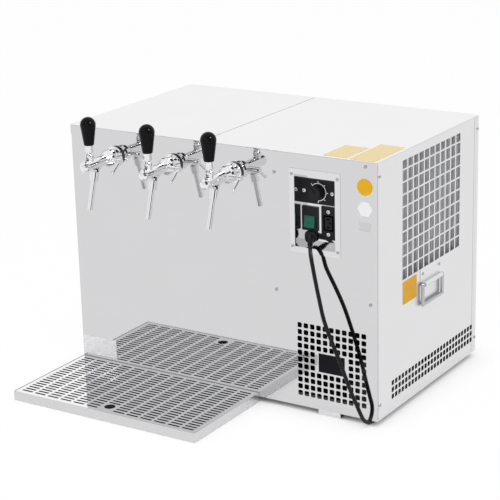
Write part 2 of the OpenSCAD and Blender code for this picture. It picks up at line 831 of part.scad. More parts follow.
module tap_body(i) {
    g = gasket_t;
    color("#d8dadd") at_tap(i) difference() {
        union() {
            rotate([90, 0, 0]) rotate_extrude() polygon([[0, -shank_in], [shank_r, -shank_in], [shank_r, g],
                [housing_r - 3.5, g], [housing_r - 3.5, g + 3], [housing_r - 1, g + 8], [housing_r, g + 12],
                [housing_r, g + 19], [housing_r - 1.5, g + 24], [barrel_r, housing_end + 5],
                [barrel_r, barrel_end], [barrel_r - 1, barrel_end + 3], [barrel_r - 4, barrel_end + 6],
                [0, barrel_end + 7]]);
            translate([0, -lever_reach, 0]) {
                rod_z(ball_r - 0.5, 0, pivot_h);
                translate([0, 0, pivot_h]) sphere(r = ball_r);
            }
            cone([0, -neck_root, -2], [0, -spout_reach, -spout_drop], neck_r, neck_r);
            at_elbow() sphere(r = neck_r);
            translate([0, -flow_reach, 0]) {
                rod_x(flow_stub_r, 0, flow_x - 0.4);
                rod_x(pin_r, 0, flow_x + 6);
            }
        }
        translate([0, -lever_reach, pivot_h]) difference() {
            box([-2.8, -ball_r - 3, 1 - ball_r], [2.8, ball_r + 3, ball_r + 3]);
            rod_x(pin_r, -ball_r, ball_r);
        }
        at_elbow() {
            box([-neck_r - 1, -neck_r - 1, -neck_r - 1], [neck_r + 1, neck_r + 1, -neck_seat]);
            rod_z(spout_r - spout_wall, -neck_r - 1, 0);
        }
    }
}

module tap_spout(i) {
    nut_end = neck_seat + spout_nut;
    color("#d8dadd") at_tap(i) at_elbow() difference() {
        union() {
            rod_z(spout_r + 2.8, -nut_end, -neck_seat);
            rod_z(spout_r, -nut_end - spout_l, -neck_seat - weld);
        }
        rod_z(spout_r - spout_wall, -nut_end - spout_l - 1, 0);
    }
}

// The lever's tongue turns on the pin in the ball, and its ferrule holds the knob
ferrule_h = 12.5;
module tap_lever(i) {
    seat = ball_r + 0.6;
    color("#d8dadd") at_tap(i) translate([0, -lever_reach, pivot_h]) difference() {
        union() {
            rod_x(ball_r - 2, -2.5, 2.5);
            box([-2.5, -3, 0], [2.5, 3, seat + weld]);
            rod_z(ball_r - 0.5, seat, seat + 3);
            rod_z(ball_r - 1, seat + 3 - weld, seat + ferrule_h);
            rod_z(3, seat + ferrule_h - weld, seat + ferrule_h + knob_h / 2);
        }
        rod_x(pin_r + run, -5, 5);
    }
}

module tap_knob(i) {
    foot = pivot_h + ball_r + 0.6 + ferrule_h;
    dome = knob_h - knob_r;
    color("#0f0f11") at_tap(i) translate([0, -lever_reach, foot]) difference() {
        union() {
            rotate_extrude() polygon([[0, 0], [knob_foot_r - 0.8, 0], [knob_foot_r, 0.8],
                [knob_r - 0.1, dome - 2], [knob_r, dome], [0, dome]]);
            translate([0, 0, dome]) sphere(r = knob_r);
        }
        rod_z(3 + run, -1, knob_h / 2 + 1);
    }
}

// Lever of the flow control on the right of the housing, leaning forward
module tap_flow_lever(i) {
    lean = 53;
    hub_w = 9;
    color("#d8dadd") at_tap(i) translate([flow_x, -flow_reach, 0]) difference() {
        union() {
            rod_x(flow_stub_r, 0, hub_w);
            translate([hub_w / 2, 0, 0]) rotate([-lean, 0, 0]) {
                rod_z(2.6, -flow_l, 0);
                translate([0, 0, -flow_l]) sphere(r = 3);
            }
        }
        rod_x(pin_r + run, -1, 6.2);
    }
}

module water_bath() {
    rim = 12;
    lo = bath_lo;
    hi = bath_hi;
    color("silver") cab() difference() {
        union() {
            box(lo, hi + [0, 0, bath_t]);
            box([lo.x - rim, lo.y - rim, rim_z], [hi.x + rim, hi.y + rim, rim_z + bath_t]);
        }
        box(lo + [bath_t, bath_t, bath_t], hi + [-bath_t, -bath_t, bath_t + 1]);
        translate([drain_x, hi.y, drain_z]) rod_y(drain_pipe_r + run, -bath_t - 1, 1);
    }
}

module insulation() {
    color("#e9dfc4") cab() difference() {
        box([foam_in, foam_in, low_z + sheet], [foam_x1, foam_y1, rim_z]);
        box(bath_lo - [fit, fit, fit], bath_hi + [fit, fit, 1]);
        translate([drain_x, foam_y1, drain_z]) rod_y(drain_pipe_r + fit, -foam_t - 1, 1);
    }
}

// Helix with rounded-square or round plan, from the bottom up
function helix(c, a, b, z0, z1, turns, steps, start, power) = [for (k = [0:turns * steps])
    let (t = start + 360 * k / steps)
    [c.x + a * sign(cos(t)) * pow(abs(cos(t)), power), c.y + b * sign(sin(t)) * pow(abs(sin(t)), power),
        z0 + (z1 - z0) * k / (turns * steps)]];

evap_a = (bath_hi.x - bath_lo.x) / 2 - bath_t - evap_r - 6;
evap_b = (bath_hi.y - bath_lo.y) / 2 - bath_t - evap_r - 6;
over_rim_z = rim_z + bath_t + evap_r + 3;
evap_path = helix([bath_cx, bath_cy], evap_a, evap_b, bath_lo.z + 40, rim_z - 60, evap_turns, 24, -22.5, 0.5);
evap_first = evap_path[0];
evap_last = evap_path[len(evap_path) - 1];
evap_riser_x = evap_first.x - 2 * evap_r - 10;
evap_out_ys = [evap_first.y - 16, evap_last.y + 36];
module evaporator_coil() {
    a = [evap_riser_x, evap_out_ys[0]];
    b = [evap_riser_x, evap_out_ys[1]];
    in_part = eased([[evap_out_x, a.y, over_rim_z], [a.x, a.y, over_rim_z], [a.x, a.y, evap_first.z - 3],
        evap_first], 14);
    out_part = eased([evap_last, [b.x, b.y, evap_last.z + 14], [b.x, b.y, over_rim_z],
        [evap_out_x, b.y, over_rim_z]], 14);
    color("#b87333") cab() tube(concat([for (k = [0:len(in_part) - 2]) in_part[k]], evap_path,
        [for (k = [1:len(out_part) - 1]) out_part[k]]), evap_r, 6);
}

// Each beer tube runs from its inlet at the back, down into the bath, up the
// coil and over the rim to its tap
coil_ys = [bath_cy, bath_cy - 96, bath_cy + 96];
beer_z0 = bath_lo.z + 55;
beer_z1 = rim_z - 75;
inlet_end = cab_d - inlet_in;
over_z = line_z + 16;
side_run = 32;
function tap_end(i) = [tap_x + (i - 1) * tap_pitch, shank_in, tap_z];

module beer_tube(i, start, before, after) {
    path = helix([bath_cx, coil_ys[i - 1]], beer_coil_r, beer_coil_r, beer_z0, beer_z1,
        beer_turns - 0.5, 16, start, 1);
    first = path[0];
    last = path[len(path) - 1];
    run_in = side_run * [-sin(start), cos(start), 0];
    down = first - run_in;
    up = last - run_in;
    in_part = eased(concat(before, [[down.x, down.y, line_z], down, first]), 14);
    out_part = eased(concat([last, up, [up.x, up.y, over_z]], after), 14);
    color("#c9ccd0") cab() tube(concat([for (k = [0:len(in_part) - 2]) in_part[k]], path,
        [for (k = [1:len(out_part) - 1]) out_part[k]]), beer_r, 6);
}

module beer_coil_1() {
    end = tap_end(1);
    x = inlet_xs[2];
    beer_tube(1, 0, [[x, inlet_end, line_z], [x, bath_cy, line_z]],
        [[end.x, 100, over_z], [end.x, 75, over_z], [end.x, 50, tap_z], end]);
}

module beer_coil_2() {
    end = tap_end(2);
    x = inlet_xs[0];
    beer_tube(2, 180, [[x, inlet_end, line_z], [x, coil_ys[1] + side_run, line_z]],
        [[end.x, 90, over_z], [end.x, 75, over_z], [end.x, 50, tap_z], end]);
}

module beer_coil_3() {
    end = tap_end(3);
    x = inlet_xs[1];
    beer_tube(3, 180, [[x, inlet_end, line_z], [x, inlet_end - 18, line_z]],
        [[foam_x1 + 10, coil_ys[2], over_z], [end.x, 160, over_z], [end.x, 75, over_z], [end.x, 50, tap_z], end]);
}

module agitator_motor() {
    z = rim_z + bath_t;
    color("#8a8d92") cab() difference() {
        union() {
            box([bath_lo.x - 10, bath_cy - stir_plate_w / 2, z],
                [bath_hi.x + 10, bath_cy + stir_plate_w / 2, z + stir_plate_t]);
            translate([bath_cx, bath_cy, 0]) rod_z(stir_motor_r, z, z + stir_plate_t + stir_motor_h);
        }
        translate([bath_cx, bath_cy, 0]) rod_z(shaft_r + run, z - 1, z + 24);
    }
}

module agitator_shaft() {
    z = bath_lo.z + 60;
    color("silver") cab() translate([bath_cx, bath_cy, 0]) {
        rod_z(shaft_r, z, rim_z + bath_t + 22);
        rod_z(8, z + 4, z + 22);
        for (a = [0:90:270])
            rotate([0, 0, a]) translate([0, 0, z + 13]) rotate([35, 0, 0])
                box([0, -1, -9], [impeller_r, 1, 9]);
    }
}

module condenser() {
    z0 = cond_z - cond_h / 2;
    y0 = cond_y - cond_w / 2;
    color("#3a3c40") cab() {
        for (k = [0:cond_fins - 1])
            translate([cond_x0, y0 + (k + 0.5) * cond_w / cond_fins - 0.4, z0]) cube([cond_t, 0.8, cond_h]);
        for (k = [0:5])
            translate([cond_x0 + cond_t * (k % 2 == 0 ? 0.3 : 0.7), 0, z0 + (k + 0.5) * cond_h / 6])
                rod_y(5, y0, y0 + cond_w + (k == 0 || k == 5 ? 10 : 0));
        for (y = [y0, y0 + cond_w - 1.5])
            box([cond_x0, y, z0], [cab_w - sheet - fit, y + 1.5, z0 + cond_h]);
    }
}

module fan_shroud() {
    lo = [shroud_x, cond_y - cond_w / 2, cond_z - cond_h / 2];
    hi = [cond_x0 - fit, cond_y + cond_w / 2, cond_z + cond_h / 2];
    strap = [fan_motor_x1, cond_y - 10, cond_z];
    color("#2a2b2e") cab() difference() {
        union() {
            difference() {
                box(lo, hi);
                box(lo + [1.5, 1.5, 1.5], hi + [1, -1.5, -1.5]);
            }
            box(strap + [0, 0, -fan_ring_r - 8], strap + [3, 20, fan_ring_r + 8]);
            for (z = [-fan_ring_r - 8, fan_ring_r + 3])
                box(strap + [0, 0, z], [shroud_x + 1, cond_y + 10, cond_z + z + 5]);
        }
        translate([0, cond_y, cond_z]) {
            rod_x(fan_ring_r, shroud_x - 1, shroud_x + 3);
            rod_x(shaft_r + 2, fan_motor_x1 - 1, fan_motor_x1 + 4);
        }
    }
}

module fan_motor() {
    color("#5a5d62") cab() translate([0, cond_y, cond_z]) difference() {
        rod_x(fan_motor_r, fan_motor_x1 - 45, fan_motor_x1);
        rod_x(shaft_r + run, fan_motor_x1 - 20, fan_motor_x1 + 1);
    }
}

module fan_blade() {
    color("#c5c7ca") cab() translate([0, cond_y, cond_z]) {
        rod_x(shaft_r, fan_motor_x1 - 18, fan_x0 + 18);
        rod_x(20, fan_x0, fan_x0 + 18);
        intersection() {
            rod_x(fan_r, fan_x0 - 8, fan_x0 + 26);
            for (a = [0:72:288])
                translate([fan_x0 + 9, 0, 0]) rotate([a, 0, 0]) rotate([0, 0, 20])
                    box([-1, -26, 12], [1, 26, fan_r + 5]);
        }
    }
}

module compressor() {
    r = comp_r;
    h = comp_h;
    color("#1d1e21") cab() {
        translate([comp_x, comp_y, comp_z]) rotate_extrude() polygon([[0, 0], [r - 8, 0], [r, 8], [r, h - 34],
            [r - 8, h - 16], [r - 26, h - 4], [0, h]]);
        box([comp_x - 70, comp_y - 60, comp_z - 3], [comp_x + 70, comp_y + 60, comp_z + weld]);
        for (x = [-58, 58], y = [-48, 48])
            translate([comp_x + x, comp_y + y, 0]) rod_z(9, low_z + sheet, comp_z - 3 + weld);
        for (p = [suction_at, discharge_at])
            translate([p.x, p.y, 0]) rod_z(stub_r, comp_z + h - 30, stub_top);
    }
}

module refrigerant_lines() {
    out_y = cond_y + cond_w / 2 + 10;
    feed = [cond_x0 + cond_t * 0.7, out_y, cond_z + cond_h * 5 / 12];
    liquid = [cond_x0 + cond_t * 0.3, out_y, cond_z - cond_h * 5 / 12];
    low = stub_top + 26;
    d = drier_at;
    cap_x = evap_out_x + 14;
    color("#b87333") cab() {
        tube(eased([[evap_out_x, evap_out_ys[1], over_rim_z], [suction_at.x, evap_out_ys[1], over_rim_z],
            [suction_at.x, suction_at.y, over_rim_z], [suction_at.x, suction_at.y, stub_top]], 18), pipe_r, 8);
        tube(eased([[discharge_at.x, discharge_at.y, stub_top], [discharge_at.x, discharge_at.y, low],
            [discharge_at.x, out_y + 18, low], [feed.x, out_y + 18, low], [feed.x, out_y + 18, feed.z], feed], 14),
            pipe_r, 8);
        tube(eased([liquid, [liquid.x, d.y, liquid.z], [d.x, d.y, liquid.z], [d.x, d.y, d.z + drier_l - 2]], 14),
            pipe_r, 8);
        translate([d.x, d.y, 0]) {
            rod_z(drier_r, d.z + 10, d.z + drier_l - 10);
            translate([0, 0, d.z]) cylinder(r1 = 3, r2 = drier_r, h = 10);
            translate([0, 0, d.z + drier_l - 10]) cylinder(r1 = drier_r, r2 = 5, h = 10);
        }
        tube(eased([[d.x, d.y, d.z + 2], [d.x, d.y, low_z + 40], [cap_x, d.y, low_z + 40], [cap_x, d.y, 330],
            [cap_x, evap_out_ys[0], 330], [cap_x, evap_out_ys[0], over_rim_z],
            [evap_out_x, evap_out_ys[0], over_rim_z]], 12), capillary_r, 6);
    }
}

module beer_inlets() {
    color("#d8dadd") cab()
        for (x = inlet_xs)
            translate([x, cab_d, line_z]) {
                rod_y(inlet_r + 1, -inlet_in, 1);
                rod_y(inlet_r, 0, inlet_reach);
                rotate([-90, 0, 0]) cylinder(r = inlet_r + 5, h = 5, $fn = 6);
                translate([0, -sheet - 5, 0]) rotate([-90, 0, 0]) cylinder(r = inlet_r + 5, h = 5, $fn = 6);
            }
}

module bath_drain() {
    wall = bath_hi.y - bath_t;
    color("#d8dadd") cab() translate([drain_x, 0, drain_z]) {
        rod_y(drain_pipe_r + 4, wall - 4, wall);
        rod_y(drain_pipe_r, wall - 4, cab_d + 1);
        rod_y(drain_r, cab_d, cab_d + inlet_reach);
    }
}

base_pan();
feet();
front_panel();
right_side_panel();
left_side_panel();
rear_panel();
top_cover();
bath_lid();
control_recess();
thermostat();
thermostat_knob();
switch_housing();
rocker_switch();
outlet_socket();
cable_gland();
mains_lead();
lead_plug();
drip_tray();
drip_grid();
handle_plates();
right_handle_bail();
left_handle_bail();
badge_plate();
steel_screws();
white_screws();
yellow_labels();
white_labels();
tap_gaskets();
tap_nuts();
for (i = [1:3]) {
    tap_body(i);
    tap_spout(i);
    tap_lever(i);
    tap_knob(i);
    tap_flow_lever(i);
}
water_bath();
insulation();
evaporator_coil();
beer_coil_1();
beer_coil_2();
beer_coil_3();
agitator_motor();
agitator_shaft();
condenser();
fan_shroud();
fan_motor();
fan_blade();
compressor();
refrigerant_lines();
beer_inlets();
bath_drain();
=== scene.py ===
# %% [markdown]
# # A counter-top beer cooler
#
# The solids of this cooler come from its CAD source. This lesson dresses them: it sets up the
# camera of the photograph, lays the lead as a curve, gives every piece a finish made of shader
# nodes, adds the small printed and pressed details, and lights the scene like a product shot on
# white paper. All lengths are metres in the CAD model's own frame: the floor is z = 0, the taps
# point to -Y, and +X is the right of the cabinet. The first cell loads the solids.

# %% Load the solids
import math

import bmesh
import bpy
from mathutils import Matrix, Vector


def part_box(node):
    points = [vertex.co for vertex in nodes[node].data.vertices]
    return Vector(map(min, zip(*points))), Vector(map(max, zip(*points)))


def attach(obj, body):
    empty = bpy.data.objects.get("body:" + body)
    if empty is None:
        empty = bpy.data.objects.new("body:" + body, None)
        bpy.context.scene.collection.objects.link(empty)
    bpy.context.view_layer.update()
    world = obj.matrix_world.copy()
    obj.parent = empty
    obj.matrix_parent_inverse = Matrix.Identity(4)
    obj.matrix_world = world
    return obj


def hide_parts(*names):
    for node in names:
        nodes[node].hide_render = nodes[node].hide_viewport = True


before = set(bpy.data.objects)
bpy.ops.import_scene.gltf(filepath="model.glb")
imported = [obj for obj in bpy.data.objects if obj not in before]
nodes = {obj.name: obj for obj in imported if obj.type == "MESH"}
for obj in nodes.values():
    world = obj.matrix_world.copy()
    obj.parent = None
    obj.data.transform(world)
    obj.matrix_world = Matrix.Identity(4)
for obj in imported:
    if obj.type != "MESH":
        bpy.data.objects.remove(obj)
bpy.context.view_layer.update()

# %% [markdown]
# ## Camera
#
# The photograph was taken with a long lens from the right and a little above. Its angle was
# worked out beforehand from straight edges of the cabinet. A camera can be aimed with a
# constraint, but then a small roll is awkward, so the three axes of the camera are written
# down as a matrix: its right, its up, and the way back from the object to the lens.

# %% Place the camera
AZIMUTH, ELEVATION, ROLL = (math.radians(angle) for angle in (32.70, 17.45, -1.51))
TARGET = Vector((0.0659, -0.104, 0.2838))
DISTANCE = 2.897

away = Vector((math.sin(AZIMUTH), -math.cos(AZIMUTH), 0.0))
level = Vector((math.cos(AZIMUTH), math.sin(AZIMUTH), 0.0))
back = math.cos(ELEVATION) * away + Vector((0.0, 0.0, math.sin(ELEVATION)))
above = back.cross(level)
right = math.cos(ROLL) * level + math.sin(ROLL) * above
up = math.cos(ROLL) * above - math.sin(ROLL) * level

lens = bpy.data.cameras.new("photo_lens")
lens.sensor_fit = "HORIZONTAL"
lens.sensor_width = 36.0
lens.lens = 119.2
camera = bpy.data.objects.new("photo_camera", lens)
place = Matrix((right, up, back)).transposed().to_4x4()
place.translation = TARGET + DISTANCE * back
camera.matrix_world = place
bpy.context.scene.collection.objects.link(camera)
bpy.context.scene.camera = camera
print("camera at", [round(v, 3) for v in place.translation])

# %% [markdown]
# ## Lead
#
# A black lead leaves the gland, hangs in front of the panel and turns under the cabinet, where
# the rest of it lies in a flat hank that ends at a plug behind. A tube could be swept by hand,
# but a curve with a round bevel keeps an even thickness and says its own length. The points are
# those of the CAD source, in millimetres from the front right floor corner of the cabinet.

# %% Trace the route
FRONT_RIGHT = Vector((0.3175, -0.104, 0.0))
HANGING = [(-127, -4.5, 311.5), (-122.8, -11.3, 305.9), (-119, -16.2, 298.4), (-116, -18.8, 290),
    (-113.5, -19.5, 279.4), (-109, -21.5, 262.9), (-94.5, -30.5, 223.7), (-80.5, -36, 185.7),
    (-54.5, -32.5, 119.9), (-38, -27.5, 71.6), (-27.5, -23.3, 43.6), (-22, -21, 28.6),
    (-19.3, -14.7, 15.7), (-17.8, -3.3, 6.8)]
LYING = [(-17, 10.2), (-18, 35), (-20, 100), (-20, 200), (-20, 265), (-20, 310), (-30.3, 334.7),
    (-55, 345), (-79.7, 334.7), (-90, 310), (-90, 270), (-90, 190), (-90, 125), (-90, 90),
    (-100.3, 65.3), (-125, 55), (-149.7, 65.3), (-160, 90), (-160, 135), (-160, 230), (-160, 320),
    (-160, 368), (-171.7, 396.3), (-200, 408)]
LYING_HEIGHT = 3.8
TO_PLUG = [(-226, 408, 7), (-252, 408, 12.5)]

points = HANGING + [(x, y, LYING_HEIGHT) for x, y in LYING] + TO_PLUG
route = [FRONT_RIGHT + Vector(point) / 1000 for point in points]
print("points of the lead:", len(route))

# %% [markdown]
# A Bezier curve passes through its points, and its handles say how it turns there. Blender can set
# handles by itself, but here each one is a sixth of the line between the two neighbouring points,
# because that gives the same smooth line as the CAD. The bevel is one metre deep, and the radius
# of each point brings it down to the lead's own.

# %% Lay the lead
LEAD_RADIUS = 0.0035
curve = bpy.data.curves.new("mains_lead_line", "CURVE")
curve.dimensions = "3D"
curve.bevel_depth = 1.0
curve.bevel_resolution = 5
curve.resolution_u = 8
curve.use_fill_caps = True
spline = curve.splines.new("BEZIER")
spline.bezier_points.add(len(route) - 1)
padded = [2 * route[0] - route[1]] + route + [2 * route[-1] - route[-2]]
for index, knot in enumerate(spline.bezier_points):
    handle = (padded[index + 2] - padded[index]) / 6
    knot.handle_left_type = knot.handle_right_type = "FREE"
    knot.co = route[index]
    knot.handle_left = route[index] - handle
    knot.handle_right = route[index] + handle
    knot.radius = LEAD_RADIUS
lead = bpy.data.objects.new("mains_lead_cord", curve)
bpy.context.scene.collection.objects.link(lead)
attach(lead, "cabinet")
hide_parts("mains_lead")

# %% [markdown]
# ## Shader tools
#
# A finish is a tree of nodes. Wired by hand it is hard to read, but as a sum it reads well, so
# `Value` wraps one socket: `1 - mask` or `0.2 + 0.1 * haze` then adds the Math nodes by itself.

# %% Sums of sockets
class Value:
    """One shader socket that can be used in sums."""

    def __init__(self, finish, socket):
        self.finish = finish
        self.socket = socket

    def join(self, operation, first, second):
        return self.finish.add("ShaderNodeMath", {"operation": operation}, {0: first, 1: second})

    def __add__(self, other):
        return self.join("ADD", self, other)

    def __sub__(self, other):
        return self.join("SUBTRACT", self, other)

    def __rsub__(self, other):
        return self.join("SUBTRACT", other, self)

    def __mul__(self, other):
        return self.join("MULTIPLY", self, other)

    def __gt__(self, other):
        return self.join("GREATER_THAN", self, other)

    def __lt__(self, other):
        return self.join("LESS_THAN", self, other)

    __radd__ = __add__
    __rmul__ = __mul__


print("a Value can be added, subtracted, multiplied and compared")

# %% [markdown]
# `Finish` is one material. Its `add` makes any node from its type, its settings and its sockets,
# and the other methods name what the finishes of this cooler need: a noise, a mix of two tones,
# a mask by the way a face looks, and a bump. Positions are those of the object, not of the
# camera, so a finish stays on its piece when the piece moves or is seen from behind.

# %% Finishes
class Finish:
    """One material with a Principled shader; keyword values are set on the shader's own sockets."""

    def __init__(self, name, tone, **sockets):
        self.material = bpy.data.materials.new(name)
        self.material.use_nodes = True
        self.material.diffuse_color = (*tone, 1.0)
        self.tree = self.material.node_tree
        self.shader = self.tree.nodes["Principled BSDF"]
        self.shader.inputs["Base Color"].default_value = (*tone, 1.0)
        for word, value in sockets.items():
            socket = word.replace("_", " ").title().replace("Ior", "IOR")
            self.shader.inputs[socket].default_value = value

    def add(self, kind, settings=None, sockets=None, output=0):
        """Makes a node, sets its settings, then its sockets, and returns one of its outputs."""
        node = self.tree.nodes.new(kind)
        for key, value in (settings or {}).items():
            setattr(node, key, value)
        for key, value in (sockets or {}).items():
            if isinstance(value, Value):
                self.tree.links.new(value.socket, node.inputs[key])
            else:
                node.inputs[key].default_value = value
        return Value(self, node.outputs[output])

    def feed(self, socket, value):
        self.tree.links.new(value.socket, self.shader.inputs[socket])

    def place(self, stretch=(1.0, 1.0, 1.0)):
        spot = self.add("ShaderNodeTexCoord", output="Object")
        return self.add("ShaderNodeMapping", sockets={"Vector": spot, "Scale": stretch})

    def noise(self, scale, detail, stretch=(1.0, 1.0, 1.0)):
        return self.add("ShaderNodeTexNoise",
            sockets={"Vector": self.place(stretch), "Scale": scale, "Detail": detail})

    def mix(self, factor, first, second):
        """The first tone where the factor is 0, the second where it is 1."""
        ends = [end if isinstance(end, Value) else (*end, 1.0) for end in (first, second)]
        return self.add("ShaderNodeMix", {"data_type": "RGBA"},
            {"Factor": factor, "A": ends[0], "B": ends[1]}, "Result")

    def along(self, axis, vector):
        return self.add("ShaderNodeVectorMath", {"operation": "DOT_PRODUCT"}, {0: vector, 1: axis}, "Value")

    def facing(self, axis):
        return self.along(axis, self.add("ShaderNodeNewGeometry", output="Normal"))

    def ray(self, kind):
        return self.add("ShaderNodeLightPath", output=f"Is {kind} Ray")

    def bump(self, height, strength, distance):
        self.feed("Normal", self.add("ShaderNodeBump",
            sockets={"Height": height, "Strength": strength, "Distance": distance}, output="Normal"))

    def two_tone(self, mask, other):
        """Lays another tone over the finish's own where the mask is 1."""
        own = Value(self, self.shader.inputs["Base Color"].links[0].from_socket)
        self.feed("Base Color", self.mix(mask, own, other))


print("a Finish has", len([word for word in vars(Finish) if not word.startswith("_")]), "methods")

# %% [markdown]
# A finish goes on through the material slots of an object. The mesh of a CAD node stays as it is:
# its slots are cleared and get the one new material. `shade` takes a tone a little down or up, for
# finishes that vary about it.

# %% Dress and shade
def dress(finish, *names):
    """Puts a finish on CAD nodes, by name, or on new pieces."""
    for name in names:
        thing = nodes[name] if isinstance(name, str) else name
        thing.data.materials.clear()
        thing.data.materials.append(finish.material)
    print(finish.material.name, "on", len(names))


def shade(tone, amount):
    """A tone made a little darker or lighter."""
    return tuple(min(1.0, channel * amount) for channel in tone)


print("a tenth darker than 0.5:", shade((0.5, 0.5, 0.5), 0.9)[0])

# %% [markdown]
# ## Sheet steel
#
# The front panel, the control recess and the drip grid are polished until they mirror the tray
# and the paper. The sides, the covers and the tray are ground instead. Both could be one grey with
# a roughness, but real sheet is never perfect: its gloss is a little cloudy, fine lines run along
# it, and it waves slowly, so one function gives all sheets these three and each sheet its amounts.

# %% A finish for sheet
def sheet_steel(name, tone, roughness, haze, grain, wave, stretch):
    """Haze clouds the gloss, grain is how fine the lines are, and wave how far the sheet swells."""
    finish = Finish(name, tone, metallic=1.0, roughness=roughness)
    cloud = finish.noise(scale=9.0, detail=3.0)
    lines = finish.noise(grain, 2.0, stretch)
    swell = finish.noise(scale=5.0, detail=1.0)
    finish.feed("Roughness", roughness - haze / 2 + haze * cloud + 0.35 * haze * lines)
    finish.feed("Base Color", finish.mix(0.6 * cloud + 0.4 * lines, shade(tone, 0.97), shade(tone, 1.03)))
    finish.bump(wave * swell + 0.04 * wave * lines, strength=0.25, distance=0.001)
    return finish


ALONG_X, ALONG_Y, ALONG_Z = (0.02, 1.0, 1.0), (1.0, 0.02, 1.0), (1.0, 1.0, 0.02)
FINE, FINER = 260.0, 420.0
print("lines of the grinding:", FINE, "and", FINER, "to the metre")

# %% [markdown]
# A polished sheet mirrors what stands before it, so its roughness is a few hundredths, and its tone
# is the share of the light that it gives back. A white room shows in the whole front, which would be
# lost on a white picture with the tone of clean steel, so the front is the greyest of the three.

# %% Polished sheet
polished_front = sheet_steel("polished_front_steel", (0.66, 0.66, 0.67), 0.03, 0.02, FINE, 0.25, ALONG_X)
polished_recess = sheet_steel("polished_recess_steel", (0.72, 0.72, 0.73), 0.07, 0.04, FINE, 0.25, ALONG_Z)
polished_grid = sheet_steel("polished_grid_steel", (0.90, 0.90, 0.91), 0.03, 0.02, FINE, 0.15, ALONG_X)
dress(polished_front, "front_panel")
dress(polished_recess, "control_recess")
dress(polished_grid, "drip_grid")

# %% [markdown]
# Ground sheet scatters light along its lines and looks pale and even from all sides. Real ground
# metal also draws its highlights out across the lines. An anisotropic shader would show that, but
# under large soft lamps a plain roughness of about a third looks the same.

# %% Ground sheet
ground_sides = sheet_steel("ground_side_steel", (0.76, 0.76, 0.77), 0.32, 0.08, FINER, 0.2, ALONG_Y)
ground_covers = sheet_steel("ground_cover_steel", (0.87, 0.87, 0.88), 0.30, 0.08, FINER, 0.2, ALONG_X)
ground_tray = sheet_steel("ground_tray_steel", (0.67, 0.67, 0.68), 0.26, 0.08, FINER, 0.2, ALONG_X)
dress(ground_sides, "right_side_panel", "left_side_panel", "rear_panel", "feet", "handle_plates",
    "water_bath")
dress(ground_covers, "top_cover", "bath_lid")
dress(ground_tray, "drip_tray")

# %% [markdown]
# The slots of the grid look dark, so their punched walls and the floor of the tray under them get a
# dark tone: painted shade. They belong to the same solids as the bright sheet, so a mask tells them
# apart: on the grid it is every face that doesn't look up, and on the tray the faces that do, low down.

# %% Painted shade in the slots and on the tray floor
UP = (0.0, 0.0, 1.0)
TRAY_FLOOR_TOP = 0.012
# painted shade: the grid faces that don't look up, the walls of the slots, are darkened
polished_grid.two_tone(polished_grid.facing(UP) < 0.5, (0.18, 0.18, 0.18))
tray_height = ground_tray.along(UP, ground_tray.place())
# painted shade: the tray floor under the grid is darkened
ground_tray.two_tone((ground_tray.facing(UP) > 0.5) * (tray_height < TRAY_FLOOR_TOP), (0.15, 0.15, 0.15))
# below this height the tray floor is painted shade
print("dull sheet below", TRAY_FLOOR_TOP)

# %% [markdown]
# ## Chrome and turned metal
#
# The taps are chromed brass. Chrome is nearly white metal with almost no roughness, so all that is
# seen in it is the room. The screws, the bails and the tubes are plainer metal. A mirror without a
# flaw looks like a drawing, so a soft noise in the roughness stands for finger marks.

# %% Bright metal
def bright_metal(name, tone, roughness, marks):
    """Marks is how much rougher the metal is where it has been touched."""
    finish = Finish(name, tone, metallic=1.0, roughness=roughness)
    smear = finish.noise(scale=55.0, detail=4.0)
    finish.feed("Roughness", roughness + marks * smear)
    finish.feed("Base Color", finish.mix(smear, shade(tone, 0.95), tone))
    return finish


CHROME_TONE = (0.84, 0.84, 0.85)
chrome = bright_metal("tap_chrome", CHROME_TONE, 0.025, 0.05)
bare_tube = bright_metal("drawn_tube", (0.74, 0.75, 0.77), 0.18, 0.12)
copper = bright_metal("bare_copper", (0.72, 0.40, 0.25), 0.25, 0.15)
dull_steel = bright_metal("dull_screw_steel", (0.46, 0.46, 0.47), 0.30, 0.10)
bail_rod = bright_metal("bail_rod_steel", (0.50, 0.50, 0.51), 0.12, 0.08)
tap_nodes = [f"tap_{tap}_{piece}" for tap in (1, 2, 3) for piece in ("body", "spout", "lever", "flow_lever")]
dress(chrome, *tap_nodes, "tap_nuts", "beer_inlets", "bath_drain")
dress(bare_tube, "beer_coil_1", "beer_coil_2", "beer_coil_3", "agitator_shaft")
dress(copper, "evaporator_coil", "refrigerant_lines")
dress(dull_steel, "steel_screws")
dress(bail_rod, "right_handle_bail", "left_handle_bail")

# %% [markdown]
# ## Plastics, rubber and paint
#
# The knobs are moulded and polished, the control plates have the fine grain of a mould, and the
# lead is rubber. They differ in gloss more than in colour. A flat black looks like a hole, so each
# finish has a cloud in its tone and gloss, and its grain is a small bump.

# %% A finish for moulded and painted pieces
GRAIN_HEIGHT = 0.0002


def moulded(name, tone, roughness, grain, depth, spread=0.15, **sockets):
    """Grain and depth are the fineness and strength of the bump, and spread that of the cloud."""
    finish = Finish(name, tone, roughness=roughness, **sockets)
    speck = finish.noise(grain, 3.0)
    cloud = finish.noise(scale=40.0, detail=2.0)
    finish.feed("Base Color", finish.mix(cloud, shade(tone, 1 - spread), shade(tone, 1 + spread)))
    finish.feed("Roughness", roughness - 0.04 + 0.08 * cloud)
    finish.bump(speck, depth, GRAIN_HEIGHT)
    return finish


print("grain of the mould:", GRAIN_HEIGHT)
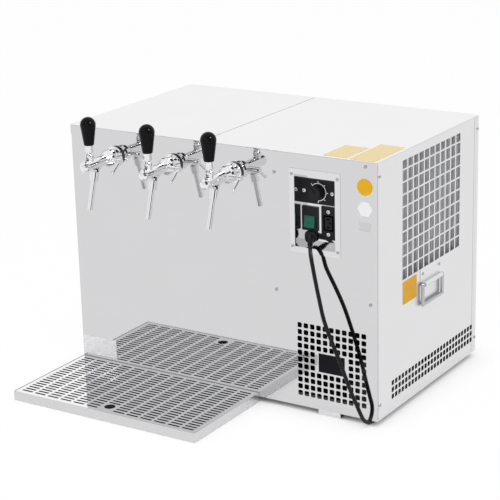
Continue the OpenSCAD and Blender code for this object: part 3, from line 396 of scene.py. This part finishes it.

# %% [markdown]
# The black pieces differ in how much they mirror. In a white room a black surface with the usual
# specular level turns grey, so it is set lower on all but the dark enamel, which lies deep in the
# cabinet: the motors, the compressor and the base pan, dark behind the vents. The motors and the
# compressor are enamelled; on the galvanised base pan the dark tone is painted shade.

# %% Black pieces
knob_gloss = moulded("knob_gloss_black", (0.004, 0.004, 0.005), 0.10, 600.0, 0.02,
    specular_ior_level=0.10)
plate_black = moulded("control_plate_black", (0.009, 0.009, 0.011), 0.42, 1400.0, 0.25,
    specular_ior_level=0.20)
badge_black = moulded("badge_black", (0.005, 0.005, 0.008), 0.30, 1400.0, 0.10,
    specular_ior_level=0.10)
rubber = moulded("lead_rubber", (0.006, 0.006, 0.007), 0.34, 900.0, 0.15, specular_ior_level=0.22)
enamel_and_shade = moulded("dark_enamel_and_shade", (0.020, 0.020, 0.022), 0.38, 500.0, 0.10)
dress(knob_gloss, "tap_1_knob", "tap_2_knob", "tap_3_knob")
dress(plate_black, "thermostat", "thermostat_knob", "switch_housing", "outlet_socket", "cable_gland",
    "lead_plug", "fan_shroud")
dress(badge_black, "badge_plate")
dress(rubber, "mains_lead", lead)
# painted shade: the base pan is galvanised sheet, darkened for the shadow under the cabinet
dress(enamel_and_shade, "compressor", "fan_motor", "agitator_motor", "base_pan")

# %% [markdown]
# The rocker of the switch is green and nearly as glossy as the knobs. The white screws are coated
# and almost even. The foam around the bath is seen only with the lid off: it is the roughest piece,
# with the strongest bump.

# %% Coloured pieces
rocker_green = moulded("rocker_green", (0.010, 0.120, 0.072), 0.16, 300.0, 0.05, specular_ior_level=0.25)
foam = moulded("cream_foam", (0.78, 0.70, 0.52), 0.85, 700.0, 0.6)
zinc_white = moulded("white_zinc", (0.93, 0.93, 0.93), 0.30, 500.0, 0.05, 0.03)
dress(rocker_green, "rocker_switch")
dress(foam, "insulation")
dress(zinc_white, "white_screws")

# %% [markdown]
# ## Condenser
#
# Behind the grille stands the condenser, a stack of pale fins with a dark end sheet. Its faces could
# have two materials, but that would change the CAD's own mesh, so the tone changes at a plane across
# the cabinet instead: the first few millimetres of the condenser's own box are dark. The fan's blade
# is of the same pale sheet.

# %% Fins and end sheet
END_SHEET = 0.004
fins = moulded("dull_fin_sheet", (0.72, 0.72, 0.73), 0.50, 500.0, 0.05, 0.02)
fin_depth = fins.along((0.0, 1.0, 0.0), fins.place())
fins.two_tone(fin_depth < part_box("condenser")[0].y + END_SHEET, (0.015, 0.015, 0.015))
dress(fins, "condenser", "fan_blade")

# %% [markdown]
# ## Labels
#
# The labels are thin film stuck on the sheet. The yellow ones on the cover lie flat under the lamps
# and look glossy and pale there, so the faces that look up get a painted highlight, a paler yellow,
# and a clear coat. Of the white ones, the small one on the front is silver: a band of heights picks
# it out. More materials would do as well, but a mask leaves each group of labels one piece with one
# finish.

# %% Yellow and white film
film_yellow = moulded("yellow_film", (0.76, 0.40, 0.012), 0.35, 900.0, 0.05, 0.04,
    specular_ior_level=0.15, coat_roughness=0.20)
lies_flat = film_yellow.facing(UP) > 0.5
# painted highlight: the faces that look up are a paler yellow
film_yellow.two_tone(lies_flat, (0.60, 0.43, 0.09))
film_yellow.feed("Coat Weight", lies_flat)

SILVER_FROM, SILVER_TO = 0.345, 0.368
film_white = moulded("white_film", (0.84, 0.84, 0.86), 0.35, 900.0, 0.05, 0.03)
label_height = film_white.along(UP, film_white.place())
film_white.two_tone((label_height > SILVER_FROM) * (label_height < SILVER_TO), (0.58, 0.58, 0.59))
dress(film_yellow, "yellow_labels")
dress(film_white, "white_labels")

# %% [markdown]
# ## Rings of the taps
#
# Between each tap and the panel sits a black ring, and its front carries a chromed washer. The
# ring is one solid, so its front face turns to metal by a mask: the mask is the metallic value
# itself, and it takes the roughness down at the same place.

# %% Rubber ring with a bright face
RING_TONE, RING_ROUGHNESS = (0.010, 0.010, 0.011), 0.34
ring_rubber = Finish("ring_rubber", RING_TONE, roughness=RING_ROUGHNESS)
bright_face = ring_rubber.facing((0.0, -1.0, 0.0)) > 0.7
ring_rubber.feed("Base Color", ring_rubber.mix(bright_face, RING_TONE, CHROME_TONE))
ring_rubber.feed("Metallic", bright_face)
ring_rubber.feed("Roughness", RING_ROUGHNESS - 0.30 * bright_face)
ring_rubber.bump(ring_rubber.noise(scale=900.0, detail=3.0), 0.15, GRAIN_HEIGHT)
dress(ring_rubber, "tap_gaskets")

# %% [markdown]
# ## Dial scale
#
# The thermostat plate carries a printed scale: an arc with six ticks. It could be painted by a mask
# in the shader, but a thin raised print keeps crisp edges from near by, so it is a small mesh of
# flat plates. Each plate is closed all round and its faces look outwards, as a solid's do.

# %% Thin plates
def plate(mesh, corners, outward):
    """A thin closed plate on a surface: its corners run anticlockwise as seen from outside."""
    front = [mesh.verts.new(Vector(corner) + Vector(outward)) for corner in corners]
    rear = [mesh.verts.new(corner) for corner in corners]
    mesh.faces.new(front)
    mesh.faces.new(rear[::-1])
    for a in range(len(front)):
        b = (a + 1) % len(front)
        mesh.faces.new((front[b], front[a], rear[a], rear[b]))


def polar(middle, radius, degrees):
    """A point on the front, (x, z), at an angle clockwise from the top."""
    turn = math.radians(degrees)
    return middle[0] + radius * math.sin(turn), middle[1] + radius * math.cos(turn)


def front_plate(mesh, outline, y, thick):
    """A thin plate that looks to the front, from an outline of (x, z) points."""
    plate(mesh, [(x, y, z) for x, z in outline], (0.0, -thick, 0.0))


def new_piece(name, mesh, finish):
    """Makes a piece of the cabinet from a mesh."""
    data = bpy.data.meshes.new(name)
    mesh.to_mesh(data)
    mesh.free()
    piece = bpy.data.objects.new(name, data)
    bpy.context.scene.collection.objects.link(piece)
    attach(piece, "cabinet")
    dress(finish, piece)
    print(name, "has", len(data.polygons), "faces")


print("the top of a 10 mm dial:", polar((0.0, 0.0), 0.005, 0))

# %% [markdown]
# The arc is a row of short plates, ten degrees each, and every tick is one more. A curve with a
# flat bevel would do for the arc, but not for the ticks, and one loop makes both: each plate lies
# between two radii and two angles.

# %% Print the scale
DIAL = (FRONT_RIGHT.x - 0.123, 0.4005)
ARC_RADII, TICK_RADII = (0.0146, 0.0159), (0.0164, 0.0192)
ARC_STEP = 10
TICK_WIDTH, TICK_MIDDLE = 0.0014, 0.017
HALF_TICK = math.degrees(TICK_WIDTH / 2 / TICK_MIDDLE)
INK = 0.00012

spans = [(ARC_RADII, start, start + ARC_STEP) for start in range(-50, 180, ARC_STEP)]
spans += [(TICK_RADII, tick - HALF_TICK, tick + HALF_TICK) for tick in range(-45, 181, 45)]
scale_mesh = bmesh.new()
for (inner, outer), start, end in spans:
    front_plate(scale_mesh, [polar(DIAL, inner, start), polar(DIAL, inner, end), polar(DIAL, outer, end),
        polar(DIAL, outer, start)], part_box("thermostat")[0].y, INK)
new_piece("dial_scale", scale_mesh, film_white)
print("plates of the scale:", len(spans))

# %% [markdown]
# ## Screw crosses
#
# Four white screws hold the thermostat and the outlet. Their crosses are pressed into the head on
# the real screw, and they look dark from the shade in them. Cutting them would change the CAD's own
# mesh, so two thin black bars of painted shade lie on each head instead, turned a little as a screw
# happens to stop.

# %% Lay the crosses
OUTLET = (FRONT_RIGHT.x - 0.1035, 0.3475)
DIAL_SCREWS, OUTLET_SCREWS = 0.0275, 0.020
BAR_RADIUS, BAR_CORNERS, BAR_HEIGHT = 0.0013, (205, 155, 25, -25), 0.00008

heads = [(DIAL[0] + side * DIAL_SCREWS, DIAL[1]) for side in (-1, 1)]
heads += [(OUTLET[0], OUTLET[1] + side * OUTLET_SCREWS) for side in (-1, 1)]
cross_mesh = bmesh.new()
for head in heads:
    for turn in (20, 110):
        bar = [polar(head, BAR_RADIUS, turn + corner) for corner in BAR_CORNERS]
        front_plate(cross_mesh, bar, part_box("white_screws")[0].y, BAR_HEIGHT)
# painted shade: black bars where the cross recesses would be
new_piece("screw_crosses", cross_mesh, plate_black)
print("crosses:", len(heads))

# %% [markdown]
# ## Sheet seams
#
# Near its front and rear edge each side panel meets the next sheet, and a fine dark line shows
# there. A gap of half a millimetre is too fine to see into, so it is a thin dark plate that stands
# on the panel. On the left side the corners run the other way round, so that it looks outwards too.

# %% Draw the seams
SEAM_WIDTH, SEAM_HEIGHT, SEAM_ENDS = 0.0006, 0.00006, 0.003
FRONT_SEAM, REAR_SEAM = 0.0008, 0.0080

side_low, side_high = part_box("right_side_panel")
bottom, top = side_low.z + SEAM_ENDS, side_high.z - SEAM_ENDS
seam_mesh = bmesh.new()
for side in (1, -1):
    for y in (side_low.y + FRONT_SEAM, side_high.y - REAR_SEAM):
        outline = [(y, bottom), (y + SEAM_WIDTH, bottom), (y + SEAM_WIDTH, top), (y, top)]
        corners = [(side * side_high.x, *corner) for corner in outline]
        plate(seam_mesh, corners[::side], (side * SEAM_HEIGHT, 0.0, 0.0))
seam_shadow = moulded("seam_shadow", (0.10, 0.10, 0.11), 0.60, 500.0, 0.05)
new_piece("sheet_seams", seam_mesh, seam_shadow)
print("length of a seam:", round(top - bottom, 3))

# %% [markdown]
# ## Paper
#
# The cooler stands on white paper. White paper could be had with more light, but that would bleach
# the cooler too. So the paper glows white only where the camera or a mirror looks at it, which the
# Light Path node tells, and for all other light it is plain paper. Near the cooler the glow gives
# way by ambient occlusion, so the soft shadow at its feet and under the tray stays.

# %% Floor
def seen(finish):
    """1 for rays from the camera, from a mirror or through glass."""
    return finish.ray("Camera") + finish.ray("Glossy") + finish.ray("Transmission")


SHADOW_REACH = 0.06
SHADED_GLOW, OPEN_GLOW = 0.03, 0.97
paper = Finish("white_paper", (0.90, 0.90, 0.90), roughness=0.9)
glow = paper.add("ShaderNodeEmission", sockets={"Color": (1, 1, 1, 1), "Strength": 1.0})
open_floor = paper.add("ShaderNodeAmbientOcclusion", {"samples": 8}, {"Distance": SHADOW_REACH}, "AO")
whiteness = seen(paper) * (SHADED_GLOW + (OPEN_GLOW - SHADED_GLOW) * open_floor)
plain_paper = Value(paper, paper.shader.outputs[0])
blend = paper.add("ShaderNodeMixShader", sockets={0: whiteness, 1: plain_paper, 2: glow})
paper.tree.links.new(blend.socket, paper.tree.nodes["Material Output"].inputs["Surface"])

bpy.ops.mesh.primitive_plane_add(size=12.0, location=(0, 0, 0))
floor = bpy.context.object
floor.name = "paper_floor"
dress(paper, floor)

# %% [markdown]
# ## Lamps
#
# Three softboxes light the cooler from the top, the left and the right. In polished sheet a lamp
# shows as a hard white patch, so mirrors don't see these three. The chrome of the taps still needs
# its small highlights: two little lamps are seen only in mirrors, and light nothing else.

# %% Softboxes and sparks
def softbox(name, at, toward, size, power, mirrored):
    lamp = bpy.data.lights.new(name, "AREA")
    lamp.shape = "RECTANGLE"
    lamp.size, lamp.size_y = size
    lamp.energy = power
    box = bpy.data.objects.new(name, lamp)
    box.location = at
    box.rotation_euler = (Vector(toward) - Vector(at)).to_track_quat("-Z", "Y").to_euler()
    box.visible_glossy = mirrored
    box.visible_diffuse = not mirrored
    bpy.context.scene.collection.objects.link(box)
    print(name, power, "W")


LOW_MIDDLE, MIDDLE, TAPS = (0.0, 0.0, 0.2), (0.0, 0.0, 0.25), (0.0, -0.1, 0.4)
softbox("top_softbox", (0.0, -0.3, 2.4), LOW_MIDDLE, (2.2, 1.6), power=28.0, mirrored=False)
softbox("left_softbox", (-2.0, -1.7, 1.5), MIDDLE, (0.7, 1.3), power=22.0, mirrored=False)
softbox("right_softbox", (2.2, -1.3, 1.7), MIDDLE, (0.6, 1.1), power=16.0, mirrored=False)
softbox("left_spark", (-0.33, -1.52, 1.56), TAPS, (0.30, 0.30), power=4.5, mirrored=True)
softbox("right_spark", (1.35, -0.42, 1.69), TAPS, (0.45, 0.45), power=28.0, mirrored=True)

# %% [markdown]
# ## Room
#
# The wall behind the cooler is white to the camera. Mirrors see a white room too, but with a dark
# upright gap to the right of the camera, a dark band of ceiling above it and a dimmer wall on the
# left: chrome needs something dark to mirror, or it looks like grey plastic. A photographer hangs
# black cloth there; here the world's own nodes do it, from the direction in which a ray leaves.

# %% A world with nodes
class Sky(Finish):
    """The world has a node tree too, so it takes the same tools."""

    def __init__(self):
        self.world = bpy.data.worlds.new("studio")
        self.world.use_nodes = True
        self.tree = self.world.node_tree

    def toward(self, axis):
        return self.along(axis, self.add("ShaderNodeTexCoord", output="Generated"))

    def rise(self, value):
        """0 below zero, then softly up to 1."""
        return self.add("ShaderNodeMapRange", {"interpolation_type": "SMOOTHSTEP"},
            {"Value": value, "From Min": 0.0, "From Max": 0.06})


sky = Sky()
bpy.context.scene.world = sky.world
print("world:", sky.world.name)

# %% [markdown]
# A direction has three parts here: ahead, towards the camera; aside, to the camera's right; and
# high. Soft steps on these parts, multiplied, mark a region of the room. A picture of a studio could
# be wrapped round the scene instead, but steps need no picture and can be moved one at a time.

# %% Dark gap, ceiling and left wall
GAP_FROM, GAP_TO = 0.20, 0.95
CEILING_FROM, CEILING_TO = 0.48, 0.85
LEFT_FROM, LEFT_DIMS = 0.55, 0.16
DARKEST, CAMERA_SIDE = 0.06, 0.10

ahead, aside, high = sky.toward(away), sky.toward(level), sky.toward(UP)
gap = sky.rise(aside - GAP_FROM * ahead) * sky.rise(GAP_TO * ahead - aside)
ceiling = sky.rise(high - CEILING_FROM) * sky.rise(CEILING_TO - high) * sky.rise(ahead - CAMERA_SIDE)
left_wall = sky.rise(-LEFT_FROM - aside) * sky.rise(ahead - CAMERA_SIDE)
wall = DARKEST + (1 - DARKEST) * (1 - gap) * (1 - ceiling) * (1 - LEFT_DIMS * left_wall)
print("darkest part of the room:", DARKEST)

# %% [markdown]
# The Light Path node tells what a ray is for. The camera sees plain white, a mirror sees the wall
# made above, and all other light from the room is at half strength, so that a tone renders about
# as it is written.

# %% Light of the room
ROOM_LIGHT = 0.50
camera_ray = sky.ray("Camera")
mirror_ray = sky.ray("Glossy") + sky.ray("Transmission")
strength = camera_ray + mirror_ray * wall + (1 - camera_ray - mirror_ray) * ROOM_LIGHT
background = sky.tree.nodes["Background"]
background.inputs["Color"].default_value = (1, 1, 1, 1)
sky.tree.links.new(strength.socket, background.inputs["Strength"])
print("room light:", ROOM_LIGHT, "nodes:", len(sky.tree.nodes))

# %% [markdown]
# ## Colour view
#
# The colours go to the picture through the Standard view, which keeps a tone as it is written.

# %% Set the view
bpy.context.scene.view_settings.view_transform = "Standard"
